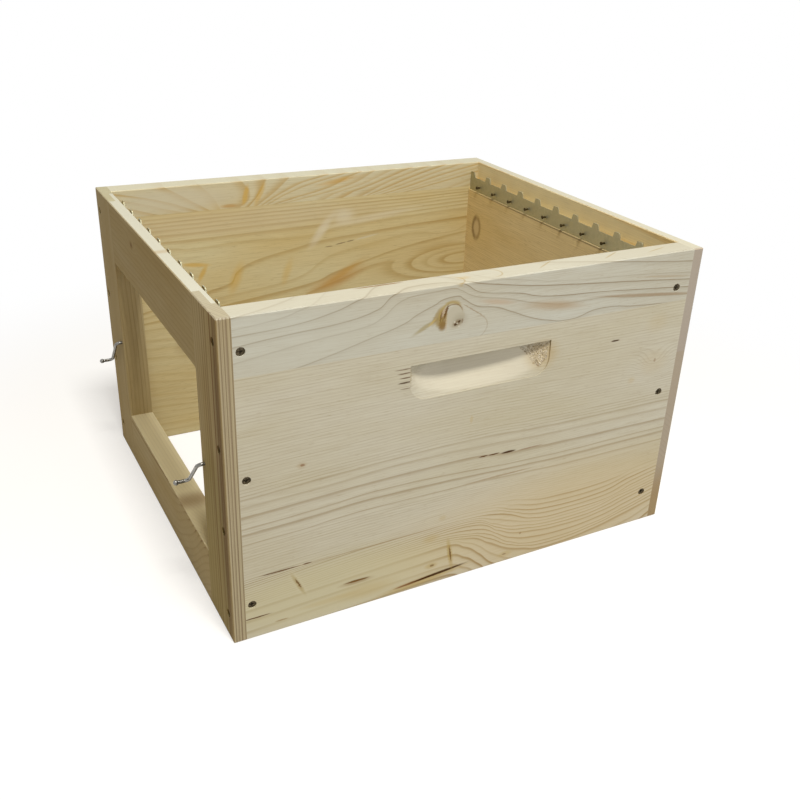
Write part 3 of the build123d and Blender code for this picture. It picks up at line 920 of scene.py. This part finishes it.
@dataclass
class WindowFrame(Wall):
    """The left wall, which is a frame round the window: two level rails and two upright stiles."""

    # Duller pine with dark brown lines
    pine: PlanedPine = PlanedPine(early="#BEAF88", warm="#B4A071", late="#76542C", rim_highlight="#D4D7CC", end="#F4FDFF")
    outer_face: Pair = (0, 0.6)
    # The front stile's edge, which is a strip at the left of the front
    strip_face: Pair = (7, 6.3)
    top_rail: Figure = Figure(
        straight((220, 0), (350, 22)), boldness=((235, 0.22), (330, 0.22)), slant=0.8, ripple=2.4,
        late_width=0.45, swells=(Swell((273, 295), (14, 8), 2.0),),
        marks=(Mark((215, 281), (600, 31), "#8E7648", 0.12, edge=0.05),
               Mark((273, 295), (5, 4), HEART, 0.5, edge=0.6), Mark((273, 295), (2.4, 2.0), BARK, 0.6),
               Mark((177, 317), (5, 2.0), "#B49A6C", 0.45, edge=0.6)))
    # Arched rings, bold on the sill, which has a painted highlight along it and one brown stain
    bottom_rail: Figure = Figure(
        tuple(Guide(ring, ((0, 90 + up), (70, 55 + up), (140, up), (200, up - 25), (430, up - 30)))
              for ring, up in ((0, -140), (40, 207))),
        boldness=((-20, 0.2), (50, 0.2), (58, 0.8), (130, 0.8)), slant=2.4, ripple=1.6, late_width=0.45,
        # Painted highlight along the sill
        marks=(Mark((215, 61), (900, 1.6), "#EFE6C2", 0.7, edge=0.2),
               Mark((157, 61), (13, 2.4), "#7C5628", 0.55, edge=0.7)))
    # Bold upright rings, with dark stripes on the face and dark lines in the strip
    front_stile: Figure = Figure(
        straight((-8, 0), (-1, 1), (7, 2), (11, 3), (20, 4), (24, 5), (33, 6), (38, 7), (46, 8), (56, 9.3),
                 (90, 14), (150, 22)),
        boldness=((-8, 0.8), (40, 0.8), (52, 0.4), (90, 0.45)), slant=2.4, ripple=0.9, late_width=0.5,
        swells=(Swell((210, 70), (90, 24), 1.5),),
        marks=(Mark((158, 0), (220, 4.5), "#AAA493", 0.4, edge=0.5, depth=strip_face),
               Mark((70, 38), (120, 33), "#877A33", 0.35, edge=0.25),
               Mark((158, 9.5), (190, 5.5), "#5E3D1A", 0.6, edge=0.5, depth=outer_face),
               Mark((158, 2), (220, 5), "#6E5028", 0.4, edge=0.4, depth=outer_face),
               # Painted highlight on the stile's top end, as on the rims
               Mark((317, 33), (2, 120), "#BCB6A7", 0.55, edge=0.3),
               Mark((190, 19), (160, 1.8), "#6E4722", 0.45, turn=-0.8, edge=0.7, depth=outer_face),
               Mark((120, 32), (110, 1.6), "#6E4722", 0.4, turn=0.8, edge=0.7, depth=outer_face),
               *(Mark((158, 0), (220, 1.5), "#5E4A2C", 0.5, depth=(through, 0.55))
                 for through in (2.6, 5.4, 8.2, 11.2))))
    back_stile: Figure = Figure(
        straight((340, 0), (400, 9), (425, 14), (450, 19), (520, 36)),
        boldness=((360, 0.3), (400, 0.35), (440, 0.6)), slant=1.6, ripple=1.4, late_width=0.45,
        swells=(Swell((90, 385), (80, 18), -2.0),),
        # Painted highlight on the stile's top end, as on the rims
        marks=(Mark((317, 397), (2, 120), "#D4D5C3", 0.3, edge=0.3),))
    boards: tuple[PineBoard, ...] = (
        PineBoard("window_top_rail", Lie.ALONG_THE_SIDE, top_rail, pine),
        PineBoard("window_bottom_rail", Lie.ALONG_THE_SIDE, bottom_rail, pine),
        PineBoard("window_front_stile", Lie.UPRIGHT, front_stile, pine),
        PineBoard("window_back_stile", Lie.UPRIGHT, back_stile, pine))


@dataclass(frozen=True)
class TornFibres:
    """Torn pine fibres: dull, and pale in one speck and dirty brown in the next, so that they look rough."""

    name: str = "torn_pine_fibres"
    clean: str = "#F2ECDC"
    dirty: str = "#8E774E"
    speck_mm: float = 1.6
    roughness: float = 0.9
    specular: float = 0.2

    def material(self) -> Material:
        """Builds the finish.

        Returns:
            The material.
        """
        material, tree = new_material(self.name)
        place = add_node(tree, "ShaderNodeTexCoord").outputs["Object"]
        cells = add_node(tree, "ShaderNodeTexVoronoi", {"Vector": place, "Scale": MM_PER_M / self.speck_mm})
        tone = add_node(tree, "ShaderNodeSeparateColor", {"Color": cells.outputs["Color"]})
        colour = add_node(tree, "ShaderNodeMix", {
            MIX_FACTOR: tone, MIX_A: linear(self.clean), MIX_B: linear(self.dirty)}, data_type="RGBA")
        shader = add_node(tree, "ShaderNodeBsdfPrincipled", {
            "Base Color": colour, "Roughness": self.roughness, "Specular IOR Level": self.specular})
        add_node(tree, "ShaderNodeOutputMaterial", {"Surface": shader})
        return material


@dataclass
class TornEndGrain:
    """The torn wood in the right end of the front hand hold, where the cutter met the fibres end on.

    Places and sizes are in mm. The fibres are finer than this, and are drawn this coarse so that they show.
    """

    board: str = "front_lower_board"
    along: Pair = (286.0, 322.4)
    height: Pair = (215.0, 245.6)
    slope: float = 1.1
    step: float = 1.5
    least_depth: float = 1.3
    # How far in front of the box the rays start that find the hollow
    ray_start: float = 10.0
    per_square_mm: float = 0.85
    length: float = 0.9
    radius: float = 0.45
    tip_radius: float = 0.12
    sides: int = 5
    seed: int = 11
    # The most that a fibre leans, in radians, and the shares of its size that it can have
    lean: float = 0.8
    smallest: Triple = (0.5, 0.5, 0.3)
    largest: Triple = (1.3, 1.3, 1.2)
    finish: TornFibres = TornFibres()

    def build(self) -> None:
        """Grows the fibres out of the hollow, and lets them ride on the box."""
        patch = self._patch()
        group, sockets = self._growth()
        modifier = patch.modifiers.new("fibres", "NODES")
        modifier.node_group = group
        choices = {"Density": self.per_square_mm * MM_PER_M ** 2, "Length": self.length * MM,
                   "Radius": self.radius * MM, "Seed": self.seed, "Finish": self.finish.material()}
        for name, value in choices.items():
            modifier[sockets[name]] = value
        grown = patch.evaluated_get(bpy.context.evaluated_depsgraph_get())
        mesh = bpy.data.meshes.new_from_object(grown)
        patch.modifiers.clear()
        patch.data = mesh
        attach(patch, "box")
        LOG.info("%s: %d faces", patch.name, len(mesh.polygons))

    def _patch(self) -> bpy.types.Object:
        """Makes the sheet that the fibres grow on, as rays from the front find the hollow.

        Returns:
            The sheet, which follows the torn part of the hollow.
        """
        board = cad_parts[self.board]
        corner = Vector(BOX_CORNER)
        (left, right), (bottom, top) = self.along, self.height
        points, numbers = [], {}
        for column in range(round((right - left) / self.step)):
            for row in range(round((top - bottom) / self.step)):
                place = Vector((left + column * self.step, -self.ray_start, bottom + row * self.step)) * MM
                found, hit, _, _ = board.ray_cast(corner + place, Vector((0, 1, 0)))
                torn = top - row * self.step - bottom < self.slope * column * self.step
                if found and torn and hit.y - corner.y > self.least_depth * MM:
                    numbers[column, row] = len(points)
                    points.append(hit)
        faces = []
        for column, row in numbers:
            cell = [(column, row), (column + 1, row), (column + 1, row + 1), (column, row + 1)]
            if all(place in numbers for place in cell):
                faces.append([numbers[place] for place in cell])
        mesh = bpy.data.meshes.new("torn_end_grain")
        mesh.from_pydata(points, [], faces)
        patch = bpy.data.objects.new("torn_end_grain", mesh)
        bpy.context.scene.collection.objects.link(patch)
        return patch

    def _growth(self) -> tuple[Tree, dict[str, str]]:
        """Makes the node tree that grows fibres on a sheet.

        Returns:
            The tree, and the identifiers of its inputs by name.
        """
        tree = bpy.data.node_groups.new("torn_fibre_growth", "GeometryNodeTree")
        kinds = {"Geometry": "Geometry", "Density": "Float", "Length": "Float", "Radius": "Float", "Seed": "Int",
                 "Finish": "Material"}
        sockets = {name: tree.interface.new_socket(name=name, in_out="INPUT", socket_type=f"NodeSocket{kind}")
                   for name, kind in kinds.items()}
        tree.interface.new_socket(name="Geometry", in_out="OUTPUT", socket_type="NodeSocketGeometry")
        add = partial(add_node, tree)
        given = add("NodeGroupInput").outputs
        points = add("GeometryNodeDistributePointsOnFaces", {
            "Mesh": given["Geometry"], "Density": given["Density"], "Seed": given["Seed"]})
        fibre = add("GeometryNodeMeshCone", {
            "Vertices": self.sides, "Radius Top": self.tip_radius * MM, "Radius Bottom": given["Radius"],
            "Depth": given["Length"]})
        ranges = (((-self.lean, -self.lean, 0.0), (self.lean, self.lean, math.tau)), (self.smallest, self.largest))
        lean, size = (add("FunctionNodeRandomValue", {"Min": low, "Max": high, "Seed": given["Seed"]},
                          data_type="FLOAT_VECTOR") for low, high in ranges)
        turn = add("FunctionNodeRotateRotation", {"Rotation": points.outputs["Rotation"], "Rotate By": lean},
                   rotation_space="LOCAL")
        grown = add("GeometryNodeInstanceOnPoints", {
            "Points": points, "Instance": fibre, "Rotation": turn, "Scale": size})
        solid = add("GeometryNodeRealizeInstances", {"Geometry": grown})
        dressed = add("GeometryNodeSetMaterial", {"Geometry": solid, "Material": given["Finish"]})
        add("NodeGroupOutput", {"Geometry": dressed})
        return tree, {name: socket.identifier for name, socket in sockets.items()}


@dataclass(frozen=True)
class PlainSteel:
    """A steel surface: its name, colours, roughness and the size of its pattern in mm.

    Dust or wear lies over the pattern, so many times coarser, and is a little rough to the eye.
    """

    name: str
    light: str
    dark: str
    rough: Pair
    grain_mm: float
    dust_part: float = 3
    dust_detail: float = 4.0
    relief_mm: float = 0.05
    relief_shade: float = 0.2

    def material(self) -> Material:
        """Builds the finish.

        Returns:
            Metal whose tone and gloss change from one crystal or scratch to the next.
        """
        material, tree = new_material(self.name)
        add = partial(add_node, tree)
        place = add("ShaderNodeTexCoord").outputs["Object"]
        cells = add("ShaderNodeTexVoronoi", {"Vector": place, "Scale": MM_PER_M / self.grain_mm})
        tone = add("ShaderNodeSeparateColor", {"Color": cells.outputs["Color"]})
        dust = add("ShaderNodeTexNoise", {
            "Vector": place, "Scale": MM_PER_M / (self.dust_part * self.grain_mm), "Detail": self.dust_detail})
        blend = add("ShaderNodeMath", {0: tone, 1: dust}, operation="MULTIPLY")
        colour = add("ShaderNodeMix", {MIX_FACTOR: blend, MIX_A: linear(self.light), MIX_B: linear(self.dark)},
                     data_type="RGBA")
        low, high = self.rough
        rough = add("ShaderNodeMapRange", {"Value": tone, "To Min": low, "To Max": high})
        bump = add("ShaderNodeBump", {"Height": dust, "Strength": self.relief_shade,
                                      "Distance": self.relief_mm * MM})
        shader = add("ShaderNodeBsdfPrincipled", {
            "Base Color": colour, "Metallic": 1.0, "Roughness": rough, "Normal": bump})
        add("ShaderNodeOutputMaterial", {"Surface": shader})
        return material


@dataclass
class Ironwork:
    """The metal pieces: frame racks, their nails, the corner screws and the turn hooks."""

    # Hot-dip zinc: pale grey crystals of several mm
    rack: PlainSteel = PlainSteel("galvanised_sheet_steel", "#B8B293", "#ABA686", (0.45, 0.55), 4.0)
    # Bright steel that has dulled to brown
    nail: PlainSteel = PlainSteel("dull_nail_steel", "#55482E", "#271F12", (0.45, 0.6), 0.8)
    # Zinc plating, darkened all over as painted shade, so that the heads look like the shaded holes they sit in
    screw: PlainSteel = PlainSteel("zinc_screw_steel_painted_shade", "#5E5442", "#1A140C", (0.35, 0.5), 0.9)
    # Drawn wire, plated and tumbled to a soft shine
    wire: PlainSteel = PlainSteel("plated_drawn_wire", "#8C8A84", "#55534F", (0.2, 0.35), 1.5)

    def dress(self) -> None:
        """Gives each metal piece its finish."""
        finishes = {"frame_rack": self.rack, "rack_nails": self.nail, "screws": self.screw,
                    "turn_hook": self.wire}
        for ending, finish in finishes.items():
            material = finish.material()
            for node in sorted(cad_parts):
                if node.endswith(ending):
                    dress(node, material)


@dataclass(frozen=True)
class Softbox:
    """A square soft lamp: its name, its place and size in metres, its power in watts and its colour."""

    name: str
    place: Triple
    size: float
    watts: float
    colour: str

    def build(self, target: Triple) -> None:
        """Hangs the lamp.

        Args:
            target: The place that it points at.
        """
        data = bpy.data.lights.new(self.name, "AREA")
        data.size = self.size
        data.energy = self.watts
        data.color = linear(self.colour)[:3]
        lamp = bpy.data.objects.new(self.name, data)
        bpy.context.scene.collection.objects.link(lamp)
        aim = Vector(target) - Vector(self.place)
        lamp.matrix_world = Matrix.Translation(self.place) @ aim.to_track_quat("-Z", "Y").to_matrix().to_4x4()


@dataclass
class Studio:
    """The camera, soft lamps, the sky and a pale floor. Places are in metres."""

    eye: Triple = (-0.443483, -0.867739, 0.585931)
    ahead: Triple = (0.445695, 0.775368, -0.447393)
    right: Triple = (0.8765, -0.479561, 0.042054)
    lens_mm: float = 42.2947
    sensor_mm: float = 36.0
    shift: Pair = (-0.02416, 0.0021)
    key: Softbox = Softbox("key_softbox", (-0.2, -0.95, 2.35), 0.45, 50.0, "#FFFDF8")
    fill: Softbox = Softbox("fill_softbox", (0.9, -2.2, 0.9), 1.8, 19.0, "#DDE9FF")
    target: Triple = (0.0, 0.0, 0.15)
    sky: float = 0.3
    sky_colour: str = "#FFEED0"
    floor_radius: float = 6.0
    floor_drop: float = 0.0002
    # Matt paper as it lights the box, and as it is seen: with a glow near the box, and white beyond this distance
    floor_colour: str = "#C4C0BA"
    paper_colour: str = "#C4C4C4"
    paper_glow: float = 0.5
    white_from: Pair = (0.4, 0.85)

    def build(self) -> None:
        """Sets up the whole studio."""
        bpy.context.scene.view_settings.view_transform = "Standard"
        self._camera()
        for lamp in (self.key, self.fill):
            lamp.build(self.target)
        self._sky()
        self._floor()

    def _camera(self) -> None:
        """Puts the camera where the photograph was taken from."""
        data = bpy.data.cameras.new("camera")
        data.sensor_width = self.sensor_mm
        data.lens = self.lens_mm
        data.shift_x, data.shift_y = self.shift
        camera = bpy.data.objects.new("camera", data)
        bpy.context.scene.collection.objects.link(camera)
        right, back = Vector(self.right), -Vector(self.ahead)
        turn = Matrix((right, back.cross(right), back)).transposed()
        camera.matrix_world = Matrix.Translation(self.eye) @ turn.to_4x4()
        bpy.context.scene.camera = camera

    def _seen(self, tree: Tree) -> Node:
        """Tells whether the camera, a reflection or a view through glass sees a surface, or only its light counts.

        Args:
            tree: The tree that gets the nodes.

        Returns:
            The node of a value that is one where the surface is seen, and nought in its light.
        """
        rays = add_node(tree, "ShaderNodeLightPath").outputs
        seen = add_node(tree, "ShaderNodeMath", {0: rays["Is Camera Ray"], 1: rays["Is Glossy Ray"]},
                        operation="MAXIMUM")
        return add_node(tree, "ShaderNodeMath", {0: seen, 1: rays["Is Transmission Ray"]}, operation="MAXIMUM")

    def _sky(self) -> None:
        """Lights the scene evenly, and shows white behind the object and in its reflections."""
        world = bpy.data.worlds.new("studio")
        bpy.context.scene.world = world
        world.use_nodes = True
        tree = world.node_tree
        tree.nodes.clear()
        seen = self._seen(tree)
        strength = add_node(tree, "ShaderNodeMapRange", {"Value": seen, "To Min": self.sky, "To Max": 1.0})
        colour = add_node(tree, "ShaderNodeMix", {
            MIX_FACTOR: seen, MIX_A: linear(self.sky_colour), MIX_B: WHITE}, data_type="RGBA")
        light = add_node(tree, "ShaderNodeBackground", {"Color": colour, "Strength": strength})
        add_node(tree, "ShaderNodeOutputWorld", {"Surface": light})

    def _floor(self) -> None:
        """Lays the floor: pale, white to the camera, with the object's shadow on it."""
        mesh = bpy.data.meshes.new("studio_floor")
        corners = [(x * self.floor_radius, y * self.floor_radius, -self.floor_drop)
                   for x, y in ((-1, -1), (1, -1), (1, 1), (-1, 1))]
        mesh.from_pydata(corners, [], [(0, 1, 2, 3)])
        floor = bpy.data.objects.new("studio_floor", mesh)
        bpy.context.scene.collection.objects.link(floor)
        material, tree = new_material("white_paper_floor")
        add = partial(add_node, tree)
        matt = add("ShaderNodeBsdfDiffuse", {"Color": linear(self.floor_colour)})
        paper = add("ShaderNodeBsdfDiffuse", {"Color": linear(self.paper_colour)})
        glow = add("ShaderNodeEmission", {"Color": WHITE, "Strength": self.paper_glow})
        lit = add("ShaderNodeAddShader", {0: paper, 1: glow})
        white = add("ShaderNodeEmission", {"Color": WHITE, "Strength": 1.0})
        place = add("ShaderNodeTexCoord").outputs["Object"]
        away = add("ShaderNodeVectorMath", {0: place}, operation="LENGTH")
        near, far = self.white_from
        fade = add("ShaderNodeMapRange", {"Value": away, "From Min": near, "From Max": far}, **SMOOTH)
        shown = add("ShaderNodeMixShader", {0: fade, 1: lit, 2: white})
        mixed = add("ShaderNodeMixShader", {0: self._seen(tree), 1: matt, 2: shown})
        add("ShaderNodeOutputMaterial", {"Surface": mixed})
        mesh.materials.append(material)


def main() -> None:
    """Builds the studio and dresses every piece."""
    logging.basicConfig(level=logging.INFO, format="%(name)s %(message)s")
    Studio().build()
    for wall in (FrontWall(), BackWall(), RightWall(), WindowFrame()):
        wall.dress()
    TornEndGrain().build()
    Ironwork().dress()


if __name__ == "__main__":
    main()
